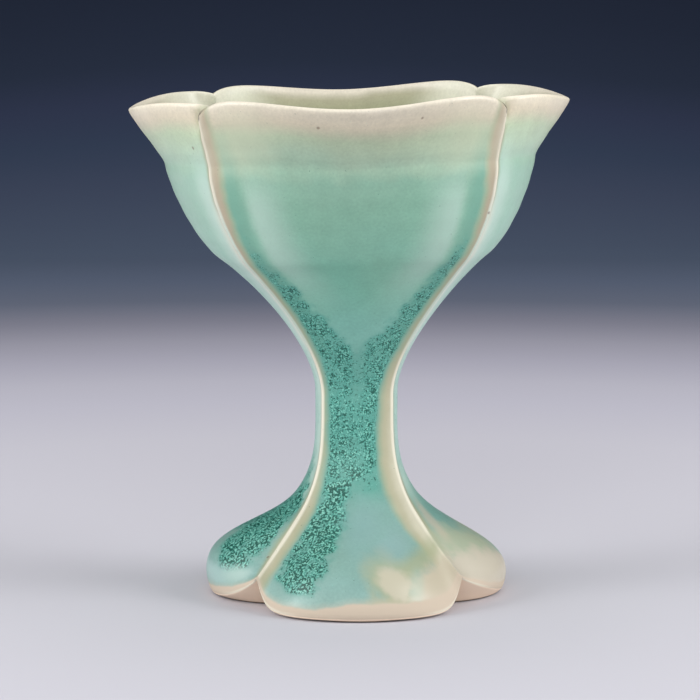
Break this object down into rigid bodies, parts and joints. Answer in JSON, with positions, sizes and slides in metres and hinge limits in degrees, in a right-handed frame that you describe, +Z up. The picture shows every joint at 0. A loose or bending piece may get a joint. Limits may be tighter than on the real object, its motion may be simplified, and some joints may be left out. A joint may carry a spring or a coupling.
{
  "type": "goblet vase",
  "caption": "Porcelain goblet vase: a lobed, flaring bowl on a waisted hollow stem with a petalled foot, crests running from lip to foot, crystalline green glaze.",
  "frame": {"origin": "on the floor under the middle of the lip; the foot's own middle lies 2.7 mm further along +X, because the bowl settled sideways", "axes": "+Z up from foot to lip; the four lobes face +X, -X, +Y and -Y, and the front of the picture is -Y"},
  "size_m": [0.1548, 0.1548, 0.1797],
  "materials": {
    "glaze": "satin",
    "joint_glaze": "satin",
    "stem_glaze": "satin"
  },
  "bodies": {
    "root": {"bowl": "glaze", "slip_bed": "joint_glaze", "pedestal": "stem_glaze"}
  },
  "joints": []
}
